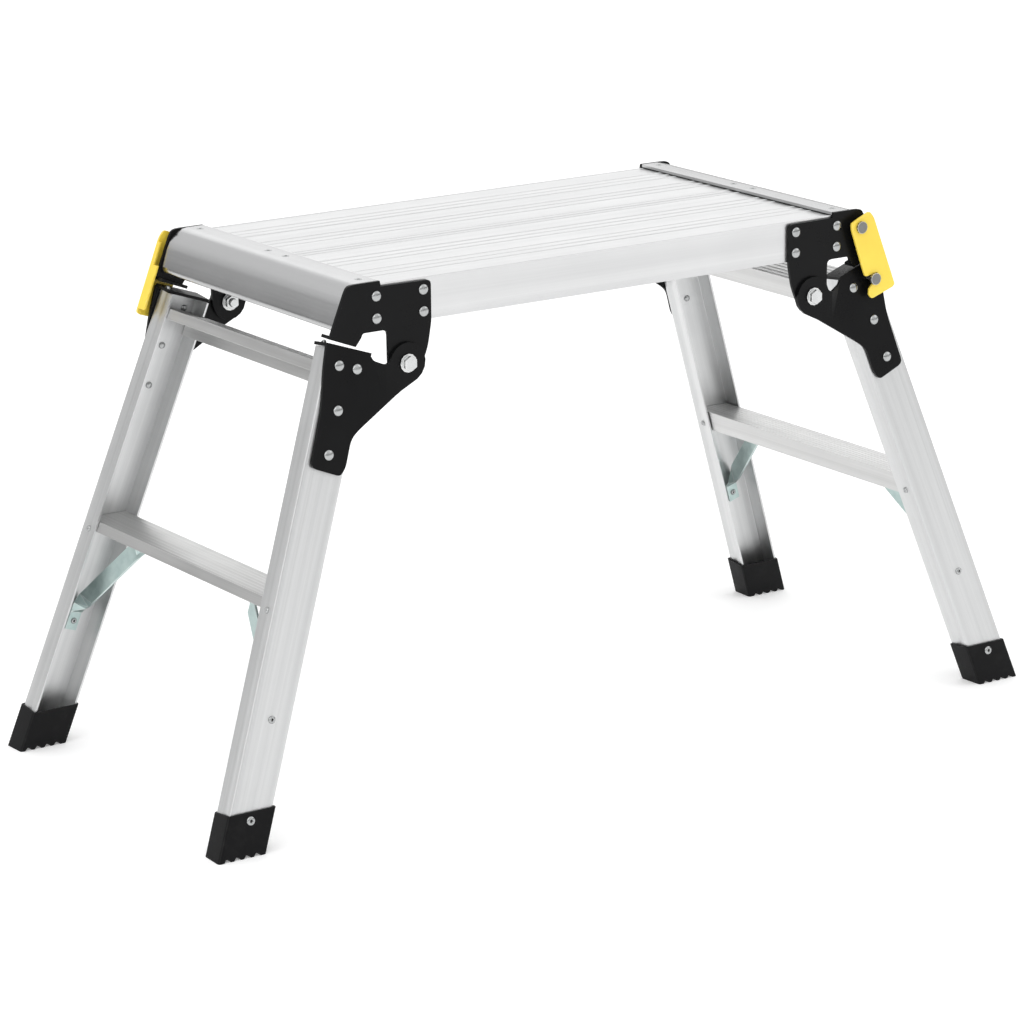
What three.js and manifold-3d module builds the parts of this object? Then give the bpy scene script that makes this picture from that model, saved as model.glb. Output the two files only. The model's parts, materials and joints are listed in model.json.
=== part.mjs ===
// Folding work platform bench.
// Millimetres, +Z up, long side of the deck along X, origin on the floor under the middle.
// Only the right-hand end is described: its front half is built once, its rear half is the
// same thing mirrored across Y, and the left-hand end is the right one turned half way round.
import * as THREE from 'three';
import { mergeVertices } from 'three/addons/utils/BufferGeometryUtils.js';
import Module from 'manifold-3d';

const wasm = await Module();
wasm.setup();

// ---- driving dimensions -----------------------------------------------------------------
const GAP = 0.3; // clearance kept between neighbouring pieces
const PLATE = 3; // sheet of both brackets

const DECK = { top: 505, depth: 40.3, halfLength: 282, halfWidth: 159.3, seam: 2.4 };
const SKIN = { top: 2.4, wall: 2, lip: 14, web: 80 };
const RIB = { height: 0.6, foot: 2.8, crest: 1.2, pitch: 13 };
const RIB_GROUPS = [54.5, 112.5]; // centre of each group of three ribs, measured from the seam
const EDGE_RIBS = [8.6, 157.2];

const CAP = { top: 508.3, thickness: 2.9, halfWidth: 159.1 };
const HINGE = { x: 238, z: 428, shank: 4, hole: 4.4 };
const UPPER_PLATE_Y = DECK.halfWidth + GAP;
const EAR_Y = UPPER_PLATE_Y + PLATE + 0.2; // inner face of the lower bracket's ear
const JOGGLE = { start: 262, slope: 0.34 };
const FLANGE_REACH = { upper: 12, lower: 21 };

// Each leg leans outward along X and across Y.
const LEG = { innerFootX: 430.3, slopeX: 0.3526, footY: 206.6, slopeY: 0.1108 };
const CHANNEL = { width: 43.8, depth: 23.7, wall: 2, top: 466.9, bottom: 4 };
const FLUTE = { depth: 0.35, half: 3, centres: [9, 17.6, 26.2, 34.8] };
const FLANGE_GROOVE = { depth: 0.9, from: 7, to: 16.6, slope: 2.2 };

const TREAD = { gap: 0.35, skin: 2.2, wall: 2.2, innerDepth: 22.5, lipDepth: 10 };
const TREAD_RIB = { count: 8, height: 0.4, foot: 2.8, crest: 1.4 };
const STEP_TOP = 228;
const RUNG_TOP = 450.6; // along the leg

const BRACE = { tab: 13, width: 18, sheet: 2.4, footZ: 113, bendZ: 131, turn: 14, rise: 43, tipY: 76 };
const FOOT = { height: 42, rimSlope: 0.11, wall: 1.8, floor: 3.6 };
const SOLE = { grooves: 4, pitch: 10.5, depth: 3, mouth: 4.2, root: 1.6 };

const LATCH = { x: 292.5, z: 491.5, y: 169, sheet: 2.5, deepEdgeY: 158, shallowEdgeY: 165.6 };
const LOCK_PIN = { x: 310, z: 437.5, shank: 2.2, head: 6.2, headInner: 172, headOuter: 175.4 };
const RIVET = { radius: 5, height: 2 };

const ROUND = 12; // facets of a full circle

// ---- materials --------------------------------------------------------------------------
const finish = (color, metalness, roughness) =>
  new THREE.MeshStandardMaterial({ color, metalness, roughness });

const aluminium = finish(0xc9cbcc, 0.9, 0.38);
const capAluminium = finish(0xa9abac, 0.9, 0.45);
const blackPaint = finish(0x151617, 0.2, 0.3);
const yellowPaint = finish(0xe8b81c, 0.1, 0.4);
const zinc = finish(0x8ea6a2, 0.8, 0.4);
const steel = finish(0xb4b6b8, 0.9, 0.35);
const blackPlastic = finish(0x1b1b1c, 0, 0.6);

// ---- solids -----------------------------------------------------------------------------
/** Geometry with shared corners, nothing but positions and no collapsed triangles. */
function weld(geometry) {
  const bare = geometry.clone();
  bare.deleteAttribute('normal');
  bare.deleteAttribute('uv');
  const welded = mergeVertices(bare, 1e-4);
  const { array } = welded.index;
  const kept = [];
  for (let i = 0; i < array.length; i += 3) {
    const triangle = [array[i], array[i + 1], array[i + 2]];
    if (new Set(triangle).size === 3) {
      kept.push(...triangle);
    }
  }
  return welded.setIndex(kept);
}

function toSolid(geometry) {
  const { attributes, index } = weld(geometry);
  const vertProperties = new Float32Array(attributes.position.array);
  const triVerts = new Uint32Array(index.array);
  return new wasm.Manifold(new wasm.Mesh({ numProp: 3, vertProperties, triVerts }));
}

function toGeometry(solid) {
  const { vertProperties, triVerts } = solid.getMesh();
  const geometry = new THREE.BufferGeometry();
  geometry.setAttribute('position', new THREE.BufferAttribute(new Float32Array(vertProperties), 3));
  geometry.setIndex(new THREE.BufferAttribute(new Uint32Array(triVerts), 1));
  return geometry;
}

/** First geometry joined with the added ones, less the removed ones. */
function combine(base, added, removed = []) {
  let solid = toSolid(base);
  for (const geometry of added) {
    solid = solid.add(toSolid(geometry));
  }
  for (const geometry of removed) {
    solid = solid.subtract(toSolid(geometry));
  }
  return toGeometry(solid);
}

/** Mirror image across the long middle plane of the bench. */
function acrossY(geometry) {
  const mirrored = weld(geometry);
  mirrored.scale(1, -1, 1);
  const { array } = mirrored.index;
  for (let i = 0; i < array.length; i += 3) {
    [array[i], array[i + 1]] = [array[i + 1], array[i]];
  }
  return mirrored;
}

// ---- outlines and sweeps ----------------------------------------------------------------
/** Closed outline; a third number on a corner is how far from it the rounding begins. */
function outline(corners) {
  const shape = new THREE.Shape();
  const at = (i) => {
    const [a, b] = corners[(i + corners.length) % corners.length];
    return new THREE.Vector2(a, b);
  };
  const along = (corner, next, ease) => {
    const side = next.clone().sub(corner);
    return side.setLength(Math.min(ease, side.length() * 0.48)).add(corner);
  };
  corners.forEach(([, , ease = 0], i) => {
    const corner = at(i);
    const enter = along(corner, at(i - 1), ease);
    const leave = along(corner, at(i + 1), ease);
    if (i === 0) {
      shape.moveTo(enter.x, enter.y);
    } else {
      shape.lineTo(enter.x, enter.y);
    }
    if (ease > 0) {
      shape.quadraticCurveTo(corner.x, corner.y, leave.x, leave.y);
    }
  });
  shape.closePath();
  return shape;
}

function extrude(corners, depth, frame, curveSegments = 3) {
  const shape = outline(corners);
  const geometry = new THREE.ExtrudeGeometry(shape, { depth, bevelEnabled: false, curveSegments });
  return geometry.applyMatrix4(frame);
}

function frameOf(xAxis, yAxis, zAxis, origin) {
  return new THREE.Matrix4().makeBasis(xAxis, yAxis, zAxis).setPosition(origin);
}

const X = new THREE.Vector3(1, 0, 0);
const Y = new THREE.Vector3(0, 1, 0);
const Z = new THREE.Vector3(0, 0, 1);

/** Outline drawn in X and Z, given thickness outward (toward -Y) from its inner face. */
function sidePlate(corners, innerY, thickness, curveSegments = 3) {
  const frame = frameOf(X, Z, Y.clone().negate(), new THREE.Vector3(0, -innerY, 0));
  return extrude(corners, thickness, frame, curveSegments);
}

/** Outline drawn in X and Z, swept across the bench between two mirror-image planes. */
function acrossBench(corners, halfWidth, curveSegments = 3) {
  return sidePlate(corners, -halfWidth, 2 * halfWidth, curveSegments);
}

/** Points round the hinge at a radius, between two bearings in degrees from +X toward +Z. */
function hingeArc(radius, from, to, steps) {
  return Array.from({ length: steps + 1 }, (_, i) => {
    const bearing = THREE.MathUtils.degToRad(from + ((to - from) * i) / steps);
    return [HINGE.x + radius * Math.cos(bearing), HINGE.z + radius * Math.sin(bearing)];
  });
}

/** Round bar along Y; outer and inner are distances from the middle plane. */
function pin(x, z, radius, inner, outer, facets = ROUND) {
  const bar = new THREE.CylinderGeometry(radius, radius, outer - inner, facets);
  return bar.translate(x, -(outer + inner) / 2, z);
}

/** Shallow domed rivet head, its flat side at the origin and its crown toward +Y. */
function rivetDome() {
  const profile = [
    new THREE.Vector2(0, -1),
    new THREE.Vector2(RIVET.radius, -1),
    new THREE.Vector2(RIVET.radius, RIVET.height * 0.3),
    new THREE.Vector2(RIVET.radius * 0.62, RIVET.height),
    new THREE.Vector2(0, RIVET.height),
  ];
  return new THREE.LatheGeometry(profile, 8);
}

// ---- leg frame: u across the channel, inward through its depth, up along it -------------
const legUp = new THREE.Vector3(-LEG.slopeX, LEG.slopeY, 1).normalize();
const legOut = new THREE.Vector3(0, -1, LEG.slopeY).normalize();
const legIn = legOut.clone().negate();
const legAcross = legIn.clone().cross(legUp).normalize();
const legFoot = new THREE.Vector3(LEG.innerFootX, -LEG.footY, 0);
const channelFrame = frameOf(legAcross, legIn, legUp, legFoot);

/** Outer face of the leg, as a distance from the middle plane, at a height. */
const legFaceY = (z) => LEG.footY - LEG.slopeY * z;

/** Moves the end faces of a sweep so that each corner lands on the height or plane asked for. */
function trimAlong(geometry, isEnd, direction, distance) {
  const { position } = geometry.attributes;
  const point = new THREE.Vector3();
  for (let i = 0; i < position.count; i += 1) {
    point.fromBufferAttribute(position, i);
    if (isEnd(point)) {
      point.addScaledVector(direction, distance(point));
      position.setXYZ(i, point.x, point.y, point.z);
    }
  }
  return geometry;
}

// ---- deck -------------------------------------------------------------------------------
/** Top surface line carrying small ribs at the given centres. */
function ribbedLine(centres, level, rib) {
  return centres.flatMap((centre) => [
    [centre - rib.foot / 2, level],
    [centre - rib.crest / 2, level + rib.height],
    [centre + rib.crest / 2, level + rib.height],
    [centre + rib.foot / 2, level],
  ]);
}

function plankRibCentres() {
  const grouped = RIB_GROUPS.flatMap((centre) => [centre - RIB.pitch, centre, centre + RIB.pitch]);
  return [...EDGE_RIBS, ...grouped].sort((a, b) => b - a).map((distance) => -distance);
}

/** One plank of the deck, seen from its end: skin, outer wall with lip, middle web, seam wall. */
function plankProfile() {
  const surface = DECK.top - RIB.height;
  const under = surface - SKIN.top;
  const bottom = DECK.top - DECK.depth;
  const outer = -DECK.halfWidth;
  const inner = -DECK.seam / 2;
  const wall = SKIN.wall;
  return [
    [outer, bottom],
    [outer + SKIN.lip, bottom],
    [outer + SKIN.lip, bottom + wall],
    [outer + wall, bottom + wall],
    [outer + wall, under],
    [-SKIN.web, under],
    [-SKIN.web, bottom],
    [-SKIN.web + wall, bottom],
    [-SKIN.web + wall, under],
    [inner - wall, under],
    [inner - wall, bottom],
    [inner, bottom],
    [inner, surface - 1.6],
    [inner - 1.6, surface],
    ...ribbedLine(plankRibCentres(), surface, RIB).reverse(),
    [outer, surface],
  ];
}

function deckPlank() {
  const frame = frameOf(Y, Z, X, new THREE.Vector3(-DECK.halfLength, 0, 0));
  return extrude(plankProfile(), 2 * DECK.halfLength, frame);
}

/** Sheet cap folded over the plank ends: flat lip, round shoulder, slanted face, return. */
function endCap() {
  const { top } = CAP;
  const under = top - CAP.thickness;
  const profile = [
    [265, under],
    [265, top],
    [300.6, top, 20],
    [315.6, 466.3, 7],
    [304, 466.3],
    [304, 468.9],
    [312.1, 468.9, 4.5],
    [298.6, under, 18],
  ];
  return acrossBench(profile, CAP.halfWidth, 5);
}

// ---- upper bracket ----------------------------------------------------------------------
const UPPER_OUTLINE = [
  [209.3, 502.4, 4.5],
  [264, 503],
  [265, CAP.top],
  [299.2, CAP.top, 8],
  [302.8, 503, 3],
  [320.2, 460.7],
  [292.3, 449.8],
  [285.6, 458.2, 3],
  [284.6, 461.5, 2.4],
  [257.5, 461.5, 5.5],
  [257.2, 430, 3],
  ...hingeArc(18.5, -15, -170, 8),
  [213.5, 440, 6],
  [209.3, 463.5, 4],
];

/** Strip folded inward along the bottom of the plate, square to the leg. */
const UPPER_FLANGE = [
  [320.2, 460.7],
  [319.1, 463.5],
  [291.2, 452.6],
  [292.3, 449.8],
];

const UPPER_RIVETS = [
  [269.2, 494.5],
  [269.1, 473.5],
  [217.9, 494.2],
  [217.8, 473.5],
];

function domeOnPlate([x, z], faceY) {
  return rivetDome().rotateZ(Math.PI).translate(x, -faceY, z);
}

function upperBracket(hasLatch) {
  const outer = UPPER_PLATE_Y + PLATE;
  const plate = sidePlate(UPPER_OUTLINE, UPPER_PLATE_Y, PLATE);
  const flange = sidePlate(UPPER_FLANGE, UPPER_PLATE_Y - FLANGE_REACH.upper, FLANGE_REACH.upper + PLATE);
  const domes = UPPER_RIVETS.map((spot) => domeOnPlate(spot, outer));
  const holes = [pin(HINGE.x, HINGE.z, HINGE.hole, UPPER_PLATE_Y - 1, outer + 1)];
  if (hasLatch) {
    holes.push(pin(LATCH.x, LATCH.z, LATCH_PIN.shank + GAP, UPPER_PLATE_Y - 1, outer + 1));
  }
  return combine(plate, [flange, ...domes], holes);
}

// ---- lower bracket ----------------------------------------------------------------------
const LOWER_OUTLINE = [
  [321.4, 455.6],
  [275.6, 439.4, 1],
  [273, 434.2, 2],
  [261, 429, 3],
  ...hingeArc(19.5, 12, 239, 11),
  [246, 402.4],
  [296.6, 371.6, 6],
  [303.6, 365, 6],
  [311.5, 341, 4],
  [318, 333.5, 4],
  [348.5, 346, 6],
  [332, 398, 8],
  [327.5, 430, 8],
];

const LOWER_RIVETS = [
  [291.2, 429],
  [315, 394],
  [328.7, 355],
];
const TOP_RIVET = [310, 434.8]; // where the other corner has its lock pin

/** Everything lying further out than a plane given as a distance from the middle of the bench. */
function beyond(distance) {
  const block = new THREE.BoxGeometry(1, 1, 1);
  const { position } = block.attributes;
  for (let i = 0; i < position.count; i += 1) {
    const x = position.getX(i) > 0 ? 380 : 190;
    const z = position.getZ(i) > 0 ? 490 : 300;
    const y = position.getY(i) > 0 ? -distance(x, z) : -300;
    position.setXYZ(i, x, y, z);
  }
  return toSolid(block);
}

/** Outside of the bent sheet: the ear, the step inward beside it, and the leg's web. */
function outsideSheet(lift) {
  const ear = beyond(() => EAR_Y + lift);
  const step = beyond((x) => EAR_Y + lift - JOGGLE.slope * (x - JOGGLE.start));
  const web = beyond((x, z) => legFaceY(z) + GAP + lift);
  return ear.add(step).intersect(web);
}

/** Strip folded inward over the top of the leg. */
function lowerFlange() {
  const from = CHANNEL.top + 0.4;
  const frame = frameOf(legAcross, legIn, legUp, legFoot.clone().addScaledVector(legUp, from));
  const corners = [
    [-0.6, -PLATE - GAP],
    [47.4, -PLATE - GAP],
    [47.4, FLANGE_REACH.lower],
    [-0.6, FLANGE_REACH.lower],
  ];
  return extrude(corners, PLATE, frame);
}

/** Rivet head on the plate that lies against the leg. */
function domeOnLeg([x, z]) {
  const face = legFaceY(z) + GAP + PLATE;
  const tilt = Math.atan(LEG.slopeY);
  return rivetDome().rotateZ(Math.PI).rotateX(-tilt).translate(x, -face, z);
}

function lowerBracket(hasLatch) {
  const blank = toSolid(sidePlate(LOWER_OUTLINE, 140, 50));
  const bent = outsideSheet(0).subtract(outsideSheet(PLATE));
  const sheet = toGeometry(blank.intersect(bent));
  const lockSpot = [LOCK_PIN.x, LOCK_PIN.z];
  const spots = hasLatch ? LOWER_RIVETS : [...LOWER_RIVETS, TOP_RIVET];
  const holes = [pin(HINGE.x, HINGE.z, HINGE.hole, EAR_Y - 1, EAR_Y + PLATE + 1)];
  if (hasLatch) {
    holes.push(pin(...lockSpot, LOCK_PIN.shank + GAP, 150, 175));
  }
  return combine(sheet, [lowerFlange(), ...spots.map(domeOnLeg)], holes);
}

// ---- hinge fasteners --------------------------------------------------------------------
const BOLT = { washer: 9, hex: 7.4, headInner: EAR_Y + PLATE + GAP, head: 5.6, tip: 150 };
const NUT = { hex: 7.4, thickness: 6.4 };

function hingeBolt() {
  const { x, z } = HINGE;
  const seat = BOLT.headInner;
  const shank = pin(x, z, HINGE.shank, BOLT.tip, seat + 1);
  const washer = pin(x, z, BOLT.washer, seat, seat + 1.6);
  const hex = pin(x, z, BOLT.hex, seat + 1, seat + BOLT.head, 6);
  return combine(shank, [washer, hex]);
}

function hingeNut() {
  const { x, z } = HINGE;
  const outer = UPPER_PLATE_Y - GAP;
  const inner = outer - NUT.thickness;
  const hex = pin(x, z, NUT.hex, inner, outer - 1, 6);
  const collar = pin(x, z, BOLT.washer, outer - 1.6, outer);
  return combine(hex, [collar], [pin(x, z, HINGE.hole, inner - 1, outer + 1)]);
}

// ---- legs -------------------------------------------------------------------------------
/** Channel section: fluted web, two flanges with a shallow groove along their outer faces. */
function channelProfile() {
  const { width, depth, wall } = CHANNEL;
  const flutes = FLUTE.centres.flatMap((centre) => [
    [centre - FLUTE.half, 0],
    [centre, FLUTE.depth],
    [centre + FLUTE.half, 0],
  ]);
  const groove = FLANGE_GROOVE;
  return [
    [0, 0, 2.6],
    ...flutes,
    [width, 0, 2.6],
    [width, groove.from],
    [width - groove.depth, groove.from + groove.slope],
    [width - groove.depth, groove.to - groove.slope],
    [width, groove.to],
    [width, depth],
    [width - wall, depth],
    [width - wall, wall, 1],
    [wall, wall, 1],
    [wall, depth],
    [0, depth],
    [0, groove.to],
    [groove.depth, groove.to - groove.slope],
    [groove.depth, groove.from + groove.slope],
    [0, groove.from],
  ];
}

/** Channel standing on a level cut inside its foot, its upper end cut square. */
function legChannel(hasLatch) {
  const bar = extrude(channelProfile(), CHANNEL.top, channelFrame, 2);
  const isFoot = (point) => point.clone().sub(legFoot).dot(legUp) < 1;
  const toLevel = (point) => (CHANNEL.bottom - point.z) / legUp.z;
  const leg = trimAlong(bar, isFoot, legUp, toLevel);
  if (!hasLatch) {
    return leg;
  }
  return combine(leg, [], [pin(LOCK_PIN.x, LOCK_PIN.z, LOCK_PIN.shank + GAP, 150, 175)]);
}

const footCentreX = () => LEG.innerFootX + CHANNEL.width / 2 / legAcross.x;

/** Cross groove of the sole, wider at the floor than at its root. */
function soleGroove(x) {
  const tooth = [
    [x - SOLE.mouth, -1],
    [x + SOLE.mouth, -1],
    [x + SOLE.root, SOLE.depth],
    [x - SOLE.root, SOLE.depth],
  ];
  return sidePlate(tooth, 150, 80);
}

/** Black cap over the foot of a leg, open at the top, its sole cut by cross grooves. */
function foot() {
  const { wall, floor, height } = FOOT;
  const shell = footPrism(GAP + wall, 0, height, 2.6, 2.6);
  const cavity = footPrism(GAP, floor, height + 20, 2, 0);
  const first = footCentreX() - (SOLE.pitch * (SOLE.grooves - 1)) / 2;
  const grooves = Array.from({ length: SOLE.grooves }, (_, i) => soleGroove(first + i * SOLE.pitch));
  return combine(shell, [], [cavity, ...grooves]);
}

/** Sleeve-shaped block around the channel, level below and square to the web above. */
function footPrism(margin, fromZ, toZ, webEase, toeEase) {
  const { width, depth } = CHANNEL;
  const corners = [
    [-margin, -margin, webEase],
    [width + margin, -margin, webEase],
    [width + margin, depth + margin, toeEase],
    [-margin, depth + margin, toeEase],
  ];
  const block = extrude(corners, 10, channelFrame, 2);
  const fromFoot = (point) => point.clone().sub(legFoot);
  const isLow = (point) => fromFoot(point).dot(legUp) < 5;
  const low = trimAlong(block, isLow, legUp, (point) => (fromZ - point.z) / legUp.z);
  const isHigh = (point) => point.z > fromZ + 0.01;
  const rim = (point) => toZ - FOOT.rimSlope * fromFoot(point).dot(legIn);
  return trimAlong(low, isHigh, legUp, (point) => (rim(point) - point.z) / legUp.z);
}

// ---- treads -----------------------------------------------------------------------------
/** X of the inner face of a leg's inboard or outboard flange, at a height. */
function flangeInnerX(offset, depth, z) {
  const acrossToX = legAcross.x - (legAcross.z * legUp.x) / legUp.z;
  return LEG.innerFootX + offset * acrossToX - LEG.slopeX * z - 0.039 * depth;
}

const treadInnerX = (z) => flangeInnerX(CHANNEL.wall, CHANNEL.wall, z) + TREAD.gap;
const treadOuterX = (z) => flangeInnerX(CHANNEL.width - CHANNEL.wall, CHANNEL.depth, z) - TREAD.gap;

/** Point of a tread section, given as a share of the way out and a distance below its top. */
function slanted(topAt) {
  return (share, below) => {
    const top = topAt(share);
    const x0 = treadInnerX(top) + share * (treadOuterX(top) - treadInnerX(top));
    return [x0 + LEG.slopeX * below, top - below];
  };
}

/** Ribbed skin with a deep inboard wall and a short outboard lip, both following the leg. */
function treadProfile(topAt) {
  const { skin, wall, innerDepth, lipDepth } = TREAD;
  const at = slanted(topAt);
  const width = treadOuterX(0) - treadInnerX(0);
  const share = wall / width;
  const ribs = Array.from({ length: TREAD_RIB.count }, (_, i) => {
    const centre = (i + 0.5) / TREAD_RIB.count;
    const half = TREAD_RIB.foot / 2 / width;
    const crest = TREAD_RIB.crest / 2 / width;
    return [
      at(centre - half, TREAD_RIB.height),
      at(centre - crest, 0),
      at(centre + crest, 0),
      at(centre + half, TREAD_RIB.height),
    ];
  });
  return [
    at(0, TREAD_RIB.height),
    ...ribs.flat(),
    at(1, TREAD_RIB.height),
    at(1, lipDepth),
    at(1 - share, lipDepth),
    at(1 - share, skin + TREAD_RIB.height),
    at(share, skin + TREAD_RIB.height),
    at(share, innerDepth),
    at(0, innerDepth),
  ];
}

/** Tread between the two legs of one end, its ends cut parallel to the leg webs. */
function tread(topAt) {
  const endAt = (z) => legFaceY(z) - CHANNEL.wall / legIn.y - 0.4;
  const bar = acrossBench(treadProfile(topAt), 10);
  const ended = (point) => Math.sign(point.y) * (endAt(point.z) - 10);
  return trimAlong(bar, () => true, Y, ended);
}

const step = () => tread(() => STEP_TOP);

/** Top rung: the same section turned square to the legs. */
function topRung() {
  const inboard = RUNG_TOP * legUp.z + CHANNEL.wall * legAcross.z;
  const outboard = inboard + (CHANNEL.width - 2 * CHANNEL.wall) * legAcross.z;
  return tread((share) => inboard + share * (outboard - inboard));
}

// ---- braces -----------------------------------------------------------------------------
/** Centre line of the legs in X at a height. */
const legCentreX = (z) => flangeInnerX(CHANNEL.width / 2, CHANNEL.depth / 2, z);

/** Point on the middle plane of a leg. */
const onLegMiddle = (fromMiddle, z) => new THREE.Vector3(legCentreX(z), -fromMiddle, z);

/** Stations of the strap: centre, direction of its width, width. */
function braceStations() {
  const { tab, width, footZ, bendZ, turn, rise, tipY, sheet } = BRACE;
  const web = (z) => legFaceY(z) - CHANNEL.wall / legIn.y - GAP - sheet / 2;
  const top = STEP_TOP - TREAD.skin - TREAD_RIB.height - GAP - sheet / 2;
  const angle = THREE.MathUtils.degToRad(rise);
  const diagonal = (distance) => {
    const height = bendZ + 4 + distance * Math.sin(angle);
    return onLegMiddle(web(bendZ) - 1 - distance * Math.cos(angle), height);
  };
  const length = (top - 8 - bendZ) / Math.sin(angle);
  const edgewise = new THREE.Vector3(0, -Math.sin(angle), Math.cos(angle));
  const widthways = (share) => X.clone().multiplyScalar(Math.cos(share * Math.PI / 2))
    .addScaledVector(edgewise, Math.sin(share * Math.PI / 2));
  const station = (centre, share, size) => ({ centre, across: widthways(share), size });
  const lastY = web(bendZ) - 1 - length * Math.cos(angle);
  return [
    station(onLegMiddle(web(footZ), footZ), 0, tab),
    station(onLegMiddle(web(bendZ), bendZ), 0, tab),
    station(diagonal(turn * 0.35), 0.4, tab + 1),
    station(diagonal(turn), 0.85, width - 1),
    station(diagonal(turn * 1.6), 1, width),
    station(diagonal(length - turn * 1.6), 1, width),
    station(diagonal(length - turn * 0.8), 0.66, width),
    station(diagonal(length - turn * 0.25), 0.25, width),
    station(onLegMiddle(lastY - 3, top), 0, width),
    station(onLegMiddle(tipY, top), 0, width),
  ];
}

/** Strap flat on the leg, twisted on edge up its diagonal, and flat again under the step. */
function brace() {
  const stations = braceStations();
  const positions = [];
  stations.forEach(({ centre, across, size }, i) => {
    const before = stations[Math.max(i - 1, 0)].centre;
    const after = stations[Math.min(i + 1, stations.length - 1)].centre;
    const along = after.clone().sub(before).normalize();
    const width = across.clone().addScaledVector(along, -across.dot(along)).setLength(size / 2);
    const normal = along.cross(width.clone().normalize()).setLength(BRACE.sheet / 2);
    for (const [w, n] of [[-1, -1], [1, -1], [1, 1], [-1, 1]]) {
      positions.push(...centre.clone().addScaledVector(width, w).addScaledVector(normal, n));
    }
  });
  return ringsToGeometry(positions, 4);
}

/** Closed skin over rings of equal size, one after another, with flat ends. */
function ringsToGeometry(positions, ringSize) {
  const rings = positions.length / 3 / ringSize;
  const index = [];
  for (let ring = 0; ring < rings - 1; ring += 1) {
    for (let i = 0; i < ringSize; i += 1) {
      const a = ring * ringSize + i;
      const b = ring * ringSize + ((i + 1) % ringSize);
      index.push(a, b, b + ringSize, a, b + ringSize, a + ringSize);
    }
  }
  const last = (rings - 1) * ringSize;
  for (let i = 1; i < ringSize - 1; i += 1) {
    index.push(0, i + 1, i, last, last + i, last + i + 1);
  }
  const geometry = new THREE.BufferGeometry();
  geometry.setAttribute('position', new THREE.Float32BufferAttribute(positions, 3));
  geometry.setIndex(index);
  return geometry;
}

// ---- latch ------------------------------------------------------------------------------
const LATCH_PIN = { shank: 3, collar: 5, head: 6.2, inner: 157.4, headOuter: 174.4 };

const LATCH_SHOULDER = [309.1, 499.6, 3];
const LATCH_HEEL = [337.1, 428.4, 2];

/** Hook: eye at the pivot, slot open toward the deck, lower lip ramped to let the pin out. */
const LATCH_OUTLINE = [
  [280.7, 496.2, 2],
  [288.8, 500.1],
  [303.5, 506.4, 3],
  LATCH_SHOULDER,
  LATCH_HEEL,
  [333.9, 425.8, 1],
  [307.9, 417.2, 2],
  [303.9, 421.6, 1.4],
  [304.5, 427.6, 1],
  [312.4, 436.3, 1],
  [314.9, 443.8, 2.4],
  [299.3, 440.4, 2.4],
  [296.9, 446],
  [281.1, 490, 3],
];

/** Strip just inside the latch's outboard edge, between two heights. */
function latchEdge(fromZ, toZ) {
  const [topX, topZ] = LATCH_SHOULDER;
  const [lowX, lowZ] = LATCH_HEEL;
  const edgeX = (z) => topX + ((lowX - topX) * (topZ - z)) / (topZ - lowZ);
  return [
    [edgeX(fromZ), fromZ],
    [edgeX(toZ), toZ],
    [edgeX(toZ) - LATCH.sheet, toZ],
    [edgeX(fromZ) - LATCH.sheet, fromZ],
  ];
}

function latch() {
  const { y, sheet, deepEdgeY, shallowEdgeY } = LATCH;
  const plate = sidePlate(LATCH_OUTLINE, y, sheet);
  const overlap = sheet / 2;
  const deep = sidePlate(latchEdge(474, 432.5), deepEdgeY, y + overlap - deepEdgeY);
  const shallow = sidePlate(latchEdge(495, 470), shallowEdgeY, y + overlap - shallowEdgeY);
  const hole = pin(LATCH.x, LATCH.z, LATCH_PIN.shank + GAP, y - 1, y + sheet + 1);
  return combine(plate, [deep, shallow], [hole]);
}

/** Pivot of the latch: shank through the upper bracket, spacer collar, outer head. */
function latchPivot() {
  const { x, z } = LATCH;
  const plateOuter = UPPER_PLATE_Y + PLATE;
  const shank = pin(x, z, LATCH_PIN.shank, LATCH_PIN.inner + 3, LATCH_PIN.headOuter - 1);
  const collar = pin(x, z, LATCH_PIN.collar, plateOuter + GAP, LATCH.y - GAP);
  const head = pin(x, z, LATCH_PIN.head, LATCH.y + LATCH.sheet + GAP, LATCH_PIN.headOuter);
  return combine(shank, [collar, head]);
}

/** Pin the latch hooks: shank through bracket and leg, flat outer head. */
function lockPin() {
  const { x, z, shank, head, headInner, headOuter } = LOCK_PIN;
  const inner = legFaceY(z) - CHANNEL.wall - 1;
  return combine(pin(x, z, shank, inner, headInner + 1), [pin(x, z, head, headInner, headOuter)]);
}

// ---- assembly ---------------------------------------------------------------------------
function addMesh(parent, name, geometry, material) {
  const mesh = new THREE.Mesh(weld(geometry), material);
  mesh.name = name;
  parent.add(mesh);
}

/** Pieces found at every corner, drawn for the front of the right-hand end. */
const CORNER_PIECES = [
  ['upper_bracket', upperBracket, blackPaint],
  ['lower_bracket', lowerBracket, blackPaint],
  ['hinge_bolt', hingeBolt, steel],
  ['hinge_nut', hingeNut, steel],
  ['leg', legChannel, aluminium],
  ['brace', brace, zinc],
  ['foot', foot, blackPlastic],
];

const LATCH_PIECES = [
  ['latch', latch, yellowPaint],
  ['latch_pivot', latchPivot, steel],
  ['lock_pin', lockPin, steel],
];

const END_PIECES = [
  ['end_cap', endCap, capAluminium],
  ['top_rung', topRung, aluminium],
  ['step', step, aluminium],
];

/** One end of the bench; the latch stands on its near side only. */
function benchEnd(end, nearSide, farSide) {
  const group = new THREE.Group();
  for (const [kind, build, material] of END_PIECES) {
    addMesh(group, `${kind}_${end}`, build(), material);
  }
  for (const [kind, build, material] of CORNER_PIECES) {
    addMesh(group, `${kind}_${end}_${nearSide}`, build(true), material);
    addMesh(group, `${kind}_${end}_${farSide}`, acrossY(build(false)), material);
  }
  for (const [kind, build, material] of LATCH_PIECES) {
    addMesh(group, `${kind}_${end}`, build(), material);
  }
  return group;
}

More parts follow.
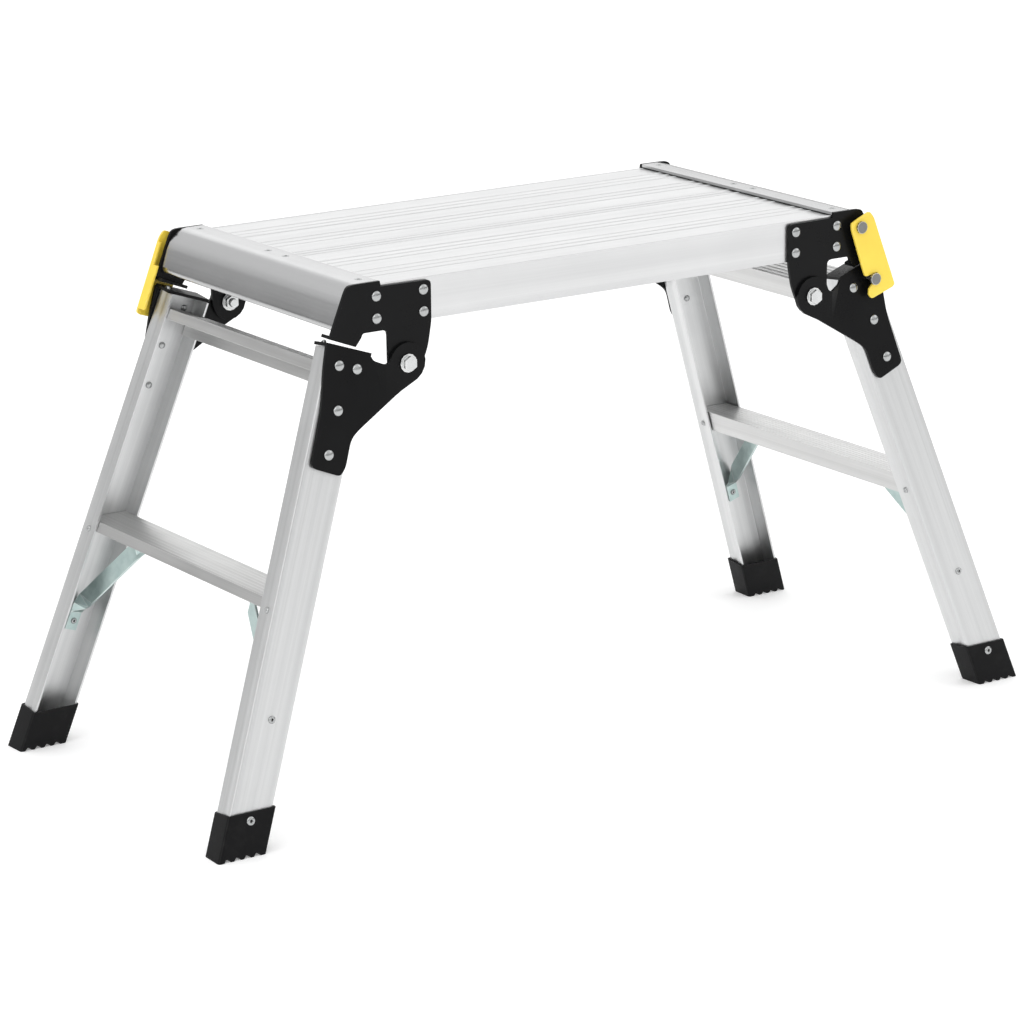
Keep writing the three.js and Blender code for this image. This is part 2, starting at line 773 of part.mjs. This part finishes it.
const bench = new THREE.Group();
addMesh(bench, 'deck_plank_front', deckPlank(), aluminium);
addMesh(bench, 'deck_plank_rear', acrossY(deckPlank()), aluminium);
bench.add(benchEnd('right', 'front', 'rear'));

const leftEnd = benchEnd('left', 'rear', 'front');
leftEnd.rotation.z = Math.PI;
bench.add(leftEnd);

export default bench;
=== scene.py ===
"""Looks of the folding work platform bench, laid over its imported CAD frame."""

import json
import math

import bmesh
import bpy
from mathutils import Matrix, Vector

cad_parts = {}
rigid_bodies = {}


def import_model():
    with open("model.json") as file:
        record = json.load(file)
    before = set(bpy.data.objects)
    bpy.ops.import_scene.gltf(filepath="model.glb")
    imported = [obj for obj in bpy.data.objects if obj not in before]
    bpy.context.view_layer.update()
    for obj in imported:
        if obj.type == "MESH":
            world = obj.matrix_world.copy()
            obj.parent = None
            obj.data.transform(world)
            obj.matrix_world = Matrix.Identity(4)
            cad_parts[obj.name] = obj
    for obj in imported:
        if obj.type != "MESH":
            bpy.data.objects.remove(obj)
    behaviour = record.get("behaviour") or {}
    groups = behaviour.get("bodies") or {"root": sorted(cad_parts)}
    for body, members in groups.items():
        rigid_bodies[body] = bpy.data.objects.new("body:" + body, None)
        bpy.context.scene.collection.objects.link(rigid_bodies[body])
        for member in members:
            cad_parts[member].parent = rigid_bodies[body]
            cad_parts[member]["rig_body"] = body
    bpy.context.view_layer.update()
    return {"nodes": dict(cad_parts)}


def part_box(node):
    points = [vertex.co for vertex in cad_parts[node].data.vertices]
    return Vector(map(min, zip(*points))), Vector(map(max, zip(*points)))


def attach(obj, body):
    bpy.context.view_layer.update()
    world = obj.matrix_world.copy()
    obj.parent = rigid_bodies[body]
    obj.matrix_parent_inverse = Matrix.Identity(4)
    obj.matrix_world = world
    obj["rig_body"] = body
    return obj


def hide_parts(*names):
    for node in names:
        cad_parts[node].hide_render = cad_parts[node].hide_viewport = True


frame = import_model()

MM = 0.001
SIDES = {"right": ("front", "rear"), "left": ("rear", "front")}

# The leg of the right-hand end's front corner: where its foot stands, in millimetres, and how
# far it leans along and across the bench for each millimetre of height.
LEG_FOOT = Vector((430.3, -206.6, 0))
LEG_SLOPES = (0.3526, 0.1108)
LEG_UP = Vector((-LEG_SLOPES[0], LEG_SLOPES[1], 1)).normalized()
LEG_OUT = Vector((0, -1, LEG_SLOPES[1])).normalized()
LEG_ACROSS = (-LEG_OUT).cross(LEG_UP).normalized()


# ---- materials ---------------------------------------------------------------------------
# How often each pattern repeats in a metre, along the X, Y and Z of the piece.
DIE_LINES = (700, 700, 4)
DIE_BANDS = (90, 90, 1.5)
SCRATCHES = (1500, 260, 1500)

# The two colour inputs and the colour output among the many sockets of a Mix node.
MIX_INPUTS = (6, 7)
MIX_OUTPUT = 2


class Shader:
    """A material being wired: a Principled shader and short ways to add nodes to it."""

    def __init__(self, name, **values):
        self.material = bpy.data.materials.new(name)
        self.material.use_nodes = True
        self.tree = self.material.node_tree
        self.shader = self.tree.nodes["Principled BSDF"]
        self.place = self.add("ShaderNodeTexCoord").outputs["Object"]
        for socket, value in values.items():
            self.shader.inputs[socket.replace("_", " ")].default_value = value

    def add(self, kind, **settings):
        node = self.tree.nodes.new(kind)
        for key, value in settings.items():
            setattr(node, key, value)
        return node

    def link(self, output, socket):
        self.tree.links.new(output, socket)

    def stretched(self, scale):
        """Object coordinates stretched by a factor along each axis."""
        mapping = self.add("ShaderNodeMapping")
        mapping.inputs["Scale"].default_value = scale
        self.link(self.place, mapping.inputs["Vector"])
        return mapping.outputs["Vector"]

    def leg_place(self):
        """Coordinates that stay the same all the way up any of the four leaning legs."""
        split = self.add("ShaderNodeSeparateXYZ")
        joined = self.add("ShaderNodeCombineXYZ")
        self.link(self.place, split.inputs[0])
        for i, slope in enumerate(LEG_SLOPES):
            beside = self.math("ABSOLUTE", split.outputs[i], 0)
            lean = self.math("MULTIPLY", split.outputs[2], slope)
            self.link(self.math("ADD", beside, lean), joined.inputs[i])
        self.link(split.outputs[2], joined.inputs[2])
        return joined.outputs[0]

    def noise(self, scale, detail=3.0, rough=0.5, place=None):
        node = self.add("ShaderNodeTexNoise")
        node.inputs["Scale"].default_value = scale
        node.inputs["Detail"].default_value = detail
        node.inputs["Roughness"].default_value = rough
        self.link(place or self.place, node.inputs["Vector"])
        return node.outputs["Fac"]

    def spread(self, value, low, high, from_low=0.3, from_high=0.7):
        """Value carried from one range to another, clamped at both ends."""
        node = self.add("ShaderNodeMapRange")
        limits = (from_low, from_high, low, high)
        for socket, number in zip(("From Min", "From Max", "To Min", "To Max"), limits):
            node.inputs[socket].default_value = number
        self.link(value, node.inputs["Value"])
        return node.outputs["Result"]

    def math(self, operation, a, b):
        node = self.add("ShaderNodeMath", operation=operation)
        for socket, value in zip(node.inputs, (a, b)):
            if isinstance(value, (int, float)):
                socket.default_value = value
            else:
                self.link(value, socket)
        return node.outputs[0]

    def mix(self, amount, first, second):
        """Colour between two others."""
        node = self.add("ShaderNodeMix", data_type="RGBA")
        self.link(amount, node.inputs["Factor"])
        for i, value in zip(MIX_INPUTS, (first, second)):
            if isinstance(value, tuple):
                node.inputs[i].default_value = (*value, 1)
            else:
                self.link(value, node.inputs[i])
        return node.outputs[MIX_OUTPUT]

    def edges(self):
        """1 on the narrow faces along the edges of a piece, 0 elsewhere."""
        return self.add("ShaderNodeAttribute", attribute_name="edge").outputs["Fac"]

    def colour(self, output):
        self.link(output, self.shader.inputs["Base Color"])

    def roughness(self, output):
        self.link(output, self.shader.inputs["Roughness"])

    def bump(self, height, depth):
        """Relief of a depth in metres."""
        node = self.add("ShaderNodeBump")
        node.inputs["Distance"].default_value = depth
        self.link(height, node.inputs["Height"])
        self.link(node.outputs["Normal"], self.shader.inputs["Normal"])


def extruded(name, light, dark, rough, on_leg=False):
    """Drawn aluminium: die lines along its length, soft stains, edges rubbed bright."""
    s = Shader(name, Metallic=1.0)
    if on_leg:
        s.place = s.leg_place()
    lines = s.noise(1.0, 3, 0.55, s.stretched(DIE_LINES))
    bands = s.noise(1.0, 2, 0.5, s.stretched(DIE_BANDS))
    stains = s.noise(14, 4, 0.6)
    grain = s.math("ADD", s.math("MULTIPLY", lines, 0.35), s.math("MULTIPLY", bands, 0.65))
    shade = s.mix(s.spread(grain, 0, 1, 0.35, 0.65), dark, light)
    rubbed = s.math("MULTIPLY", s.edges(), s.spread(stains, 0.1, 0.7))
    s.colour(s.mix(rubbed, shade, (0.9, 0.9, 0.9)))
    patchy = s.spread(stains, rough - 0.04, rough + 0.05)
    s.roughness(s.math("ADD", patchy, s.spread(lines, -0.03, 0.03)))
    s.bump(lines, 0.000012)
    return s.material


def painted(name, colour, deep, rough, chip, gloss):
    """Baked enamel: faint orange peel, dusty patches, thin worn spots on the edges."""
    s = Shader(name, Metallic=0.0, Specular_IOR_Level=gloss)
    peel = s.noise(900, 2, 0.5)
    cloud = s.noise(18, 4, 0.6)
    speck = s.noise(420, 3, 0.7)
    base = s.mix(s.spread(cloud, 0, 1), deep, colour)
    worn = s.math("MULTIPLY", s.edges(), s.spread(speck, 0, 0.55, 0.5, 0.62))
    s.colour(s.mix(worn, base, chip))
    dusty = s.spread(cloud, rough - 0.05, rough + 0.07)
    s.roughness(s.math("ADD", dusty, s.spread(peel, -0.02, 0.02)))
    s.bump(peel, 0.00003)
    return s.material


def plated(name, light, dark, rough):
    """Plated or dull steel: mottled colour, fine scratches, bright rubbed edges."""
    s = Shader(name, Metallic=1.0)
    mottle = s.noise(90, 5, 0.65)
    scratch = s.noise(1.0, 3, 0.6, s.stretched(SCRATCHES))
    shade = s.mix(s.spread(mottle, 0, 1), dark, light)
    s.colour(s.mix(s.math("MULTIPLY", s.edges(), 0.5), shade, (0.93, 0.93, 0.92)))
    patchy = s.spread(mottle, rough - 0.06, rough + 0.08)
    s.roughness(s.math("ADD", patchy, s.spread(scratch, -0.05, 0.05)))
    s.bump(scratch, 0.00002)
    return s.material


def moulded(name, colour, grey):
    """Moulded black plastic: fine leathery grain, scuffed grey in patches and on its edges."""
    s = Shader(name, Metallic=0.0, Specular_IOR_Level=0.12)
    grain = s.noise(1400, 3, 0.6)
    scuff = s.noise(70, 5, 0.7)
    rubbed = s.math("MULTIPLY", s.edges(), s.spread(scuff, 0.1, 0.8))
    scuffed = s.mix(s.spread(scuff, 0, 0.35, 0.5, 0.75), colour, grey)
    s.colour(s.mix(rubbed, scuffed, grey))
    s.roughness(s.math("ADD", s.spread(scuff, 0.4, 0.55), s.spread(grain, -0.04, 0.04)))
    s.bump(grain, 0.00008)
    return s.material


ALUMINIUM = extruded("aluminium", (0.73, 0.733, 0.735), (0.66, 0.663, 0.666), 0.34)
LEG_ALUMINIUM = extruded(
    "aluminium_leg", (0.73, 0.735, 0.735), (0.63, 0.636, 0.638), 0.42, on_leg=True,
)
TREAD_ALUMINIUM = extruded("aluminium_tread", (0.68, 0.68, 0.675), (0.56, 0.56, 0.556), 0.36)
# The cap's aluminium is a darker copy of the deck's: painted shade for the darker surroundings its
# slanted face looks at.
SHADED_CAP_ALUMINIUM = extruded("aluminium_cap_shaded", (0.52, 0.523, 0.526), (0.48, 0.483, 0.486), 0.22)
BLACK = painted(
    "enamel_black", (0.0065, 0.0067, 0.007), (0.0045, 0.0045, 0.0048), 0.3,
    chip=(0.04, 0.04, 0.04), gloss=0.12,
)
YELLOW = painted(
    "enamel_yellow", (1.0, 0.76, 0.09), (0.93, 0.68, 0.07), 0.34,
    chip=(0.98, 0.85, 0.4), gloss=0.5,
)
STEEL = plated("plated_steel", (0.70, 0.71, 0.71), (0.55, 0.56, 0.56), 0.24)
RIVET_STEEL = plated("rivet_steel", (0.50, 0.51, 0.51), (0.38, 0.39, 0.39), 0.22)
PIN_STEEL = plated("dull_steel", (0.27, 0.27, 0.265), (0.19, 0.19, 0.185), 0.4)
ZINC = plated("plated_zinc", (0.55, 0.66, 0.64), (0.40, 0.51, 0.50), 0.36)
PLASTIC = moulded("plastic_black", (0.0055, 0.0055, 0.006), (0.022, 0.022, 0.022))
# Near-black plug colour for the bores of blind rivets: painted shade standing in for the dark inside
# the hole.
BORE_SHADE = moulded("rivet_bore_shade", (0.02, 0.02, 0.02), (0.06, 0.06, 0.06))


# ---- frames in which a piece's grain runs along local Z -----------------------------------
def axes_at(x_axis, y_axis, z_axis, origin=Vector()):
    """Frame with the given axes, standing at a place."""
    matrix = Matrix((x_axis, y_axis, z_axis)).transposed().to_4x4()
    matrix.translation = origin
    return matrix


ALONG_X = axes_at(Vector((0, 1, 0)), Vector((0, 0, 1)), Vector((1, 0, 0)))
ALONG_Y = axes_at(Vector((0, 0, 1)), Vector((1, 0, 0)), Vector((0, 1, 0)))


def turned(end, side):
    """What carries the right-hand front corner to another corner of the bench."""
    turn = Matrix.Rotation(math.pi, 4, "Z") if end == "left" else Matrix.Identity(4)
    if side != SIDES[end][0]:
        turn = turn @ Matrix.Diagonal((1, -1, 1, 1))
    return turn


# ---- making pieces ------------------------------------------------------------------------
SAME_POINT = 2e-6  # corners closer than this are one
FLAT = math.radians(0.8)  # faces that meet at less than this are one
SHARP = math.radians(28)  # edges that turn by more than this are rounded
LATHE_STEPS = 24


def finish_mesh(mesh, soften):
    """Rounds the sharp edges and marks the narrow faces that this makes."""
    form = bmesh.new()
    form.from_mesh(mesh)
    bmesh.ops.remove_doubles(form, verts=form.verts, dist=SAME_POINT)
    bmesh.ops.dissolve_limit(form, angle_limit=FLAT, verts=form.verts, edges=form.edges)
    mark = form.faces.layers.float.new("edge")
    sharp = [edge for edge in form.edges if edge.is_manifold and edge.calc_face_angle(0) > SHARP]
    made = bmesh.ops.bevel(
        form, geom=sharp, offset=soften, offset_type="OFFSET", segments=2, profile=0.6,
        affect="EDGES", clamp_overlap=True, loop_slide=True,
    )
    for face in made["faces"]:
        face[mark] = 1.0
    for face in form.faces:
        face.smooth = True
    form.to_mesh(mesh)
    form.free()


def piece(name, mesh, material, body, place=None):
    """Object riding on a CAD body; its mesh is given in the bench's own frame."""
    thing = bpy.data.objects.new(name, mesh)
    bpy.context.scene.collection.objects.link(thing)
    mesh.materials.clear()
    mesh.materials.append(material)
    if place is not None:
        mesh.transform(place.inverted())
        thing.matrix_world = place
    weighted = thing.modifiers.new("even_shading", "WEIGHTED_NORMAL")
    weighted.keep_sharp = True
    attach(thing, body)
    return thing


def keep_inside(mesh, box):
    """Brings back any corner that the rounding pushed past the piece's own box."""
    low, high = box
    for vert in mesh.vertices:
        vert.co = [min(max(value, a), b) for value, a, b in zip(vert.co, low, high)]


def refined(node, material, soften, place=None):
    """A CAD node's own shape with softened edges, standing in for it."""
    source = frame["nodes"][node]
    mesh = source.data.copy()
    mesh.name = f"look_{node}"
    finish_mesh(mesh, soften)
    keep_inside(mesh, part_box(node))
    thing = piece(f"look_{node}", mesh, material, source["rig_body"], place)
    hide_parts(node)


def lathe(profile):
    """Closed solid of revolution about local Z from (radius, height) pairs on or off the axis."""
    form = bmesh.new()
    rings = []
    for radius, height in profile:
        steps = LATHE_STEPS if radius else 1
        bearings = [math.tau * i / steps for i in range(steps)]
        spots = [(radius * math.cos(b), radius * math.sin(b), height) for b in bearings]
        rings.append([form.verts.new(spot) for spot in spots])
    for low, high in zip(rings, rings[1:]):
        for i in range(LATHE_STEPS):
            j = (i + 1) % LATHE_STEPS
            corners = [low[i % len(low)], low[j % len(low)], high[j % len(high)], high[i % len(high)]]
            form.faces.new(list(dict.fromkeys(corners)))
    bmesh.ops.recalc_face_normals(form, faces=form.faces)
    for face in form.faces:
        face.smooth = True
    mesh = bpy.data.meshes.new("turned")
    form.to_mesh(mesh)
    form.free()
    return mesh


def facing(spot, outward):
    """Frame at a spot whose Z looks along the outward direction."""
    across = outward.orthogonal().normalized()
    return axes_at(across, outward.cross(across), outward, spot)


# ---- the frame's own pieces, with finer surfaces ------------------------------------------
# Kind of piece, material, how far its edges are rounded in millimetres, frame of its grain.
END_LOOKS = (
    ("end_cap", SHADED_CAP_ALUMINIUM, 0.3, ALONG_Y),
    ("top_rung", TREAD_ALUMINIUM, 0.25, ALONG_Y),
    ("step", TREAD_ALUMINIUM, 0.25, ALONG_Y),
    ("latch", YELLOW, 0.5, None),
    ("latch_pivot", PIN_STEEL, 0.4, None),
    ("lock_pin", PIN_STEEL, 0.5, None),
)
CORNER_LOOKS = (
    ("upper_bracket", BLACK, 0.45),
    ("lower_bracket", BLACK, 0.45),
    ("hinge_bolt", STEEL, 0.5),
    ("hinge_nut", STEEL, 0.4),
    ("leg", LEG_ALUMINIUM, 0.3),
    ("brace", ZINC, 0.35),
    ("foot", PLASTIC, 0.5),
)


def dress_frame():
    for side in ("front", "rear"):
        refined(f"deck_plank_{side}", ALUMINIUM, 0.25 * MM, ALONG_X)
    for end, sides in SIDES.items():
        for kind, material, soften, grain in END_LOOKS:
            refined(f"{kind}_{end}", material, soften * MM, grain)
        for side in sides:
            for kind, material, soften in CORNER_LOOKS:
                refined(f"{kind}_{end}_{side}", material, soften * MM)


# ---- rivets --------------------------------------------------------------------------------
# Where they stand at the right-hand front corner, as (x, z) in millimetres.
UPPER_RIVETS = ((269.2, 494.5), (269.1, 473.5), (217.9, 494.2), (217.8, 473.5))
LOWER_RIVETS = ((291.2, 429), (315, 394), (328.7, 355))
TOP_RIVET = (310, 434.8)  # where the other corner has its lock pin
BRACE_RIVET = (409.7, 122)
FOOT_RIVET = (441.7, 34)
CAP_RIVETS = ((277, 145), (277, 16))  # as (x, distance from the long middle plane)

UPPER_FACE = 162.6  # outer face of the upper bracket, from the long middle plane
CAP_TOP = 508.3
BRACKET_LIFT = 3.3  # leg face to the lower bracket's outer face
FOOT_LIFT = 2.1  # leg face to the foot's outer face
WEB = 2  # thickness of the leg's web
TAB_LIFT = 4.7  # leg face to the inner face of the brace's tab
CHANNEL_WIDTH = 43.8
FLANGE_MIDDLE = 11.8  # leg face to the middle of a flange
GROOVE = 0.9  # depth of the groove along a flange
FLANGE_RIVETS = ((CHANNEL_WIDTH, 470), (CHANNEL_WIDTH, 220), (0, 227))  # across, up the leg

# Radius and height of each kind of head.
BRACKET_HEAD = (5.1, 2.6)
BRACKET_TAIL = (3.4, 2.0)
BRACE_HEAD = (3.7, 1.6)
BRACE_TAIL = (3.2, 1.6)
FOOT_HEAD = (4.5, 1.4)
FLANGE_HEAD = (3.1, 2.0)
CAP_HEAD = (3.4, 0.3)
DOME_SKIRT = 0.5
DOME_SINK = 1.0
CROWN_STEPS = 5

OUTWARD = Vector((0, -1, 0))
UPWARD = Vector((0, 0, 1))


def leg_face(z):
    """Outer face of a leg's web, as a distance from the long middle plane, in millimetres."""
    return -LEG_FOOT.y - LEG_SLOPES[1] * z


def dome_profile(radius, height):
    """Rivet head: short skirt, round crown, base sunk into what it sits on."""
    crown = []
    for i in range(CROWN_STEPS):
        bend = math.pi / 2 * i / CROWN_STEPS
        rise = (height - DOME_SKIRT) * math.sin(bend)
        crown.append((radius * math.cos(bend), DOME_SKIRT + rise))
    return [(0, -DOME_SINK), (radius, -DOME_SINK), (radius, 0), *crown, (0, height)]


def blind_profile(radius, height):
    """Flat rivet flange with the open end of its pulled stem in the middle."""
    bore = radius * 0.38
    return [
        (0, -0.8), (radius, -0.8), (radius, height * 0.25), (radius * 0.82, height * 0.75),
        (radius * 0.6, height), (bore, height), (bore, height * 0.45), (0, height * 0.45),
    ]


def turned_piece(name, body, corner, spot, outward, profile, material):
    """Lathe shape at a spot given for the right-hand front corner, carried to its own corner."""
    carry = turned(*corner)
    where = carry @ (Vector(spot) * MM)
    look = (carry.to_3x3() @ outward).normalized()
    mesh = lathe([(r * MM, h * MM) for r, h in profile])
    mesh.transform(facing(where, look))
    piece(name, mesh, material, body)


def dome(name, body, corner, spot, outward, radius, height):
    """Round rivet head."""
    profile = dome_profile(radius, height)
    turned_piece(name, body, corner, spot, outward, profile, RIVET_STEEL)


def blind(name, body, corner, spot, outward, radius, height):
    """Blind rivet head, with a near-black plug down its bore as painted shade of the hole."""
    turned_piece(name, body, corner, spot, outward, blind_profile(radius, height), RIVET_STEEL)
    bore = radius * 0.36
    shade_plug = [(0, 0), (bore, 0), (bore, height * 0.5), (bore * 0.6, height * 0.62), (0, height * 0.62)]
    turned_piece(f"{name}_shade_plug", body, corner, spot, outward, shade_plug, BORE_SHADE)


def add_bracket_rivets(corner, has_lock_pin):
    end, side = corner
    legs = f"legs_{end}"
    for i, (x, z) in enumerate(UPPER_RIVETS):
        head = (x, -UPPER_FACE, z)
        dome(f"rivet_upper_{end}_{side}_{i}", "deck", corner, head, OUTWARD, *BRACKET_HEAD)
    spots = LOWER_RIVETS if has_lock_pin else (*LOWER_RIVETS, TOP_RIVET)
    for i, (x, z) in enumerate(spots):
        head = (x, -leg_face(z) - BRACKET_LIFT, z)
        dome(f"rivet_lower_{end}_{side}_{i}", legs, corner, head, LEG_OUT, *BRACKET_HEAD)
        tail = (x, -leg_face(z) + WEB, z)
        dome(f"rivet_tail_{end}_{side}_{i}", legs, corner, tail, -LEG_OUT, *BRACKET_TAIL)


def add_leg_rivets(corner):
    end, side = corner
    legs = f"legs_{end}"
    x, z = BRACE_RIVET
    head = (x, -leg_face(z), z)
    tail = (x, -leg_face(z) + TAB_LIFT, z)
    blind(f"rivet_brace_{end}_{side}", legs, corner, head, LEG_OUT, *BRACE_HEAD)
    blind(f"rivet_brace_tail_{end}_{side}", legs, corner, tail, -LEG_OUT, *BRACE_TAIL)
    x, z = FOOT_RIVET
    head = (x, -leg_face(z) - FOOT_LIFT, z)
    blind(f"rivet_foot_{end}_{side}", legs, corner, head, LEG_OUT, *FOOT_HEAD)
    for i, (across, up) in enumerate(FLANGE_RIVETS):
        outward = LEG_ACROSS if across else -LEG_ACROSS
        depth = across - GROOVE if across else GROOVE
        spot = LEG_FOOT + LEG_ACROSS * depth - LEG_OUT * FLANGE_MIDDLE + LEG_UP * up
        blind(f"rivet_flange_{end}_{side}_{i}", legs, corner, spot, outward, *FLANGE_HEAD)


def add_rivets():
    for end, sides in SIDES.items():
        for side in sides:
            add_bracket_rivets((end, side), side == sides[0])
            add_leg_rivets((end, side))
            for i, (x, y) in enumerate(CAP_RIVETS):
                spot = (x, -y, CAP_TOP)
                blind(f"rivet_cap_{end}_{side}_{i}", "deck", (end, side), spot, UPWARD, *CAP_HEAD)


# ---- floor, light, camera ------------------------------------------------------------------
def add_floor():
    bpy.ops.mesh.primitive_plane_add(size=60)
    floor = bpy.context.object
    floor.name = "floor"
    paint = bpy.data.materials.new("floor")
    paint.use_nodes = True
    shader = paint.node_tree.nodes["Principled BSDF"]
    shader.inputs["Base Color"].default_value = (0.95, 0.95, 0.95, 1)
    shader.inputs["Roughness"].default_value = 0.9
    shader.inputs["Emission Color"].default_value = (1, 1, 1, 1)
    shader.inputs["Emission Strength"].default_value = 0.22
    floor.data.materials.append(paint)


# Sine of the height above the horizon, and shade; the first two stops are the ramp's own.
SKY = ((0.0, 0.32), (1.0, 1.0), (0.1, 0.34), (0.22, 0.72), (0.36, 0.95))

BENCH_MIDDLE = Vector((0, 0, 0.3))
# Place of each lamp in metres, width and height of its panel, watts.
SOFTBOXES = {
    "key": ((-2.4, -2.2, 3.2), (2.4, 2.4), 20),
    "side": ((-3.2, -0.8, 1.3), (1.2, 1.2), 9),
    "fill": ((2.8, -1.8, 2.2), (2.0, 2.0), 8),
    "back": ((1.9, 2.9, 1.6), (3.0, 1.5), 8),
}

# Standing place of the camera in metres, its turn, tilt and roll in degrees, its lens in mm.
CAMERA_AT = Vector((-2.1865, -3.2172, 1.2905))
CAMERA_TURNS = (34.06, -15.54, -0.57)
CAMERA_LENS = 141.56


def add_world():
    """White studio that darkens toward the horizon, which gives metal its grey bands."""
    world = bpy.data.worlds.new("studio")
    world.use_nodes = True
    tree = world.node_tree
    place = tree.nodes.new("ShaderNodeTexCoord")
    split = tree.nodes.new("ShaderNodeSeparateXYZ")
    ramp = tree.nodes.new("ShaderNodeValToRGB")
    tree.links.new(place.outputs["Generated"], split.inputs["Vector"])
    tree.links.new(split.outputs["Z"], ramp.inputs["Fac"])
    tree.links.new(ramp.outputs["Color"], tree.nodes["Background"].inputs["Color"])
    for i, (height, shade) in enumerate(SKY):
        stop = ramp.color_ramp.elements[i] if i < 2 else ramp.color_ramp.elements.new(height)
        stop.position = height
        stop.color = (shade, shade, shade, 1)
    tree.nodes["Background"].inputs["Strength"].default_value = 1.0
    bpy.context.scene.world = world


def add_softbox(name, at, size, power):
    """Rectangular lamp aimed at the bench."""
    light = bpy.data.lights.new(name, "AREA")
    light.shape = "RECTANGLE"
    light.size, light.size_y = size
    light.energy = power
    box = bpy.data.objects.new(name, light)
    bpy.context.scene.collection.objects.link(box)
    look = (BENCH_MIDDLE - Vector(at)).to_track_quat("-Z", "Y")
    box.matrix_world = Matrix.Translation(at) @ look.to_matrix().to_4x4()


def add_camera():
    """Camera in front of the left-hand end, looking down at the bench a little."""
    yaw, pitch, roll = (math.radians(turn) for turn in CAMERA_TURNS)
    level_ahead = Vector((math.sin(yaw), math.cos(yaw), 0))
    ahead = level_ahead * math.cos(pitch) + UPWARD * math.sin(pitch)
    level = Vector((math.cos(yaw), -math.sin(yaw), 0))
    upward = level.cross(ahead)
    right = math.cos(roll) * level + math.sin(roll) * upward
    above = math.cos(roll) * upward - math.sin(roll) * level
    lens = bpy.data.cameras.new("camera")
    lens.lens = CAMERA_LENS
    lens.sensor_width = 36
    lens.clip_end = 100
    camera = bpy.data.objects.new("camera", lens)
    bpy.context.scene.collection.objects.link(camera)
    camera.matrix_world = axes_at(right, above, -ahead, CAMERA_AT)
    bpy.context.scene.camera = camera


add_camera()
dress_frame()
add_rivets()
add_floor()
add_world()
for name, lamp in SOFTBOXES.items():
    add_softbox(name, *lamp)
bpy.context.scene.view_settings.view_transform = "Standard"
